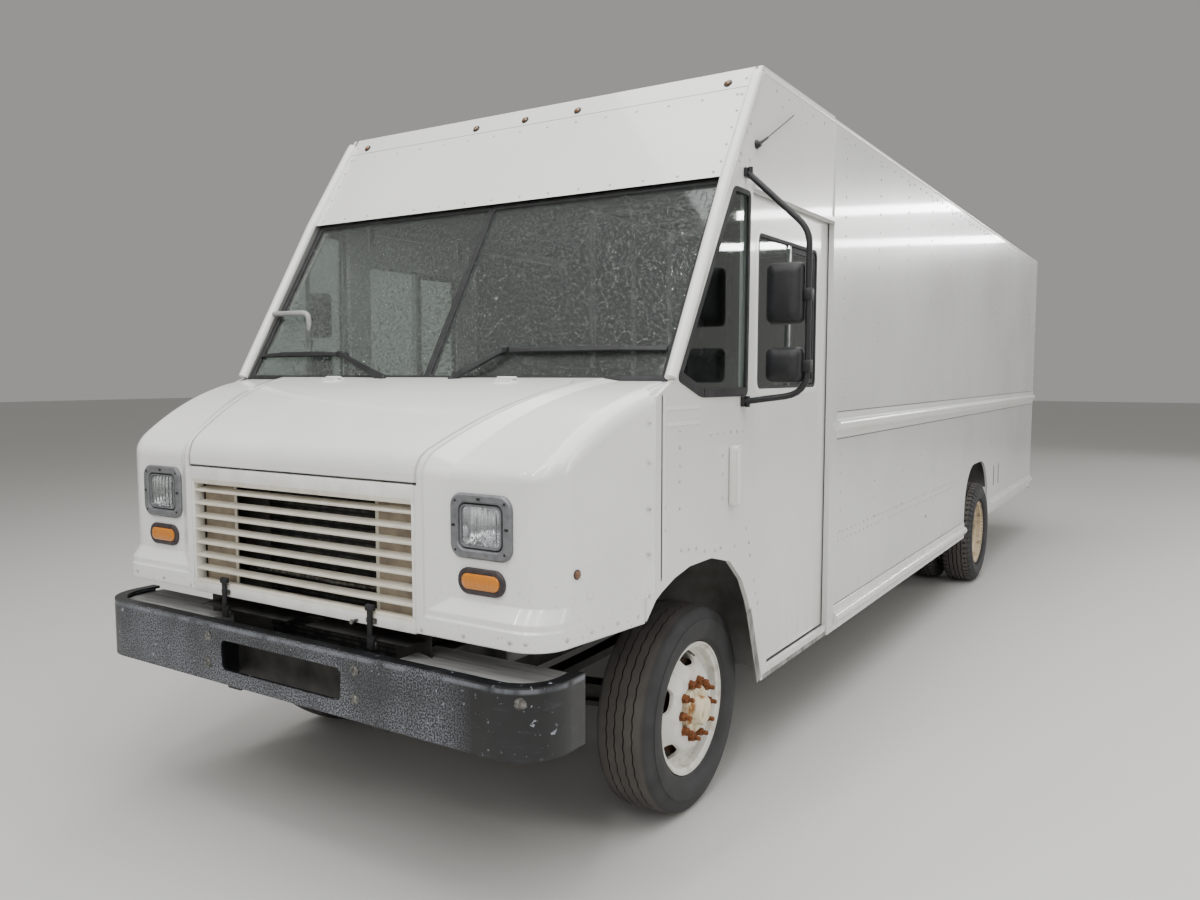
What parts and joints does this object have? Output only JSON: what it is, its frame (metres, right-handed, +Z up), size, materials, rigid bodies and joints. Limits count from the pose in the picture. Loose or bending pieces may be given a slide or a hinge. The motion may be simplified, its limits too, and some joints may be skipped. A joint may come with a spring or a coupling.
{
  "type": "step van",
  "caption": "White walk-in step van with a hinged hood, slatted grille, sliding cab doors, swinging rear doors and twin rear wheels.",
  "frame": {"origin": "on the ground under the middle of the vehicle's bounding box", "axes": "+Z up, +Y towards the rear of the vehicle, +X to the driver's (left) side"},
  "size_m": [2.9, 9.54, 3.0159],
  "materials": {
    "tyre": "matte",
    "wheel_white": "worn",
    "wheel_tan": "worn",
    "chassis_black": "satin",
    "cast": "rough",
    "cast_engine": "rough",
    "radiator": "matte",
    "tank": "satin",
    "exhaust": "dull",
    "bumper_black": "worn",
    "step_grey": "matte",
    "white_moulding": "gloss",
    "white_paint": "gloss",
    "cream_grille": "satin",
    "lamp_clear": "clear",
    "lamp_amber": "gloss",
    "lamp_red": "gloss",
    "black_rubber": "matte",
    "glass": "clear",
    "rail_aluminium": "satin",
    "floor_grey": "dull",
    "black_plastic": "matte",
    "dash_grey": "matte",
    "seat_grey": "woven"
  },
  "bodies": {
    "body": {"frame_rails": "chassis_black", "leaf_springs": "chassis_black", "front_axle": "chassis_black", "rear_axle": "chassis_black", "driveshaft": "chassis_black", "engine": "cast_engine", "radiator": "radiator", "fuel_tank": "tank", "exhaust": "exhaust", "front_bumper": "bumper_black", "bumper_steps": "step_grey", "rear_bumper": "bumper_black", "nose": "white_moulding", "grille": "cream_grille", "headlights": "lamp_clear", "turn_signals": "lamp_amber", "windscreen_frame": "black_rubber", "cab_glass": "glass", "header": "white_paint", "cab_side_left": "white_paint", "cab_side_right": "white_paint", "cargo_side_left": "white_paint", "cargo_side_right": "white_paint", "roof": "white_paint", "rub_rails": "rail_aluminium", "cab_floor": "floor_grey", "cargo_floor": "floor_grey", "rear_frame": "white_paint", "rear_lights": "lamp_red", "door_tracks": "rail_aluminium", "mirrors": "black_plastic", "wipers": "black_plastic", "dashboard": "dash_grey", "steering_wheel": "black_plastic", "driver_seat": "seat_grey"},
    "knuckle_left": {"knuckle_left": "cast"},
    "knuckle_right": {"knuckle_right": "cast"},
    "tie_rod": {"tie_rod": "chassis_black"},
    "front_left_wheel": {"front_left_tyre": "tyre", "front_left_rim": "wheel_white"},
    "front_right_wheel": {"front_right_tyre": "tyre", "front_right_rim": "wheel_white"},
    "rear_left_wheels": {"rear_left_tyres": "tyre", "rear_left_rims": "wheel_tan"},
    "rear_right_wheels": {"rear_right_tyres": "tyre", "rear_right_rims": "wheel_tan"},
    "hood": {"hood": "white_moulding"},
    "cab_door_left": {"cab_door_left": "white_paint", "door_glass_left": "glass"},
    "cab_door_right": {"cab_door_right": "white_paint", "door_glass_right": "glass"},
    "rear_door_left": {"rear_door_left": "white_paint"},
    "rear_door_right": {"rear_door_right": "white_paint"}
  },
  "joints": [
    {"name": "steer_left", "type": "hinge", "parent": "body", "child": "knuckle_left", "pos_m": [0.86, -3.583, 0.419], "axis": [0, 0, 1], "range_deg": [-38, 38]},
    {"name": "steer_right", "type": "hinge", "parent": "body", "child": "knuckle_right", "pos_m": [-0.86, -3.583, 0.419], "axis": [0, 0, 1], "range_deg": [-38, 38]},
    {"name": "tie_rod_pivot", "type": "hinge", "parent": "knuckle_left", "child": "tie_rod", "pos_m": [0.86, -3.433, 0.298], "axis": [0, 0, 1], "range_deg": [-38, 38]},
    {"name": "front_left_spin", "type": "hinge", "parent": "knuckle_left", "child": "front_left_wheel", "pos_m": [0.95, -3.583, 0.419], "axis": [1, 0, 0], "continuous": true},
    {"name": "front_right_spin", "type": "hinge", "parent": "knuckle_right", "child": "front_right_wheel", "pos_m": [-0.95, -3.583, 0.419], "axis": [1, 0, 0], "continuous": true},
    {"name": "rear_left_spin", "type": "hinge", "parent": "body", "child": "rear_left_wheels", "pos_m": [0.944, 1.525, 0.419], "axis": [1, 0, 0], "continuous": true},
    {"name": "rear_right_spin", "type": "hinge", "parent": "body", "child": "rear_right_wheels", "pos_m": [-0.944, 1.525, 0.419], "axis": [1, 0, 0], "continuous": true},
    {"name": "hood_hinge", "type": "hinge", "parent": "body", "child": "hood", "pos_m": [0, -4.0545, 1.7509], "axis": [-1, 0, 0], "range_deg": [0, 55]},
    {"name": "cab_door_left_slide", "type": "slide", "parent": "body", "child": "cab_door_left", "axis": [0, 1, 0], "range_m": [0, 0.9]},
    {"name": "cab_door_right_slide", "type": "slide", "parent": "body", "child": "cab_door_right", "axis": [0, 1, 0], "range_m": [0, 0.9]},
    {"name": "rear_door_left_hinge", "type": "hinge", "parent": "body", "child": "rear_door_left", "pos_m": [1.12, 4.637, 1.8], "axis": [0, 0, -1], "range_deg": [0, 180]},
    {"name": "rear_door_right_hinge", "type": "hinge", "parent": "body", "child": "rear_door_right", "pos_m": [-1.12, 4.637, 1.8], "axis": [0, 0, 1], "range_deg": [0, 180]}
  ],
  "couplings": [
    {"joint": "steer_right", "follows": "steer_left", "ratio": 1},
    {"joint": "tie_rod_pivot", "follows": "steer_left", "ratio": -1}
  ]
}
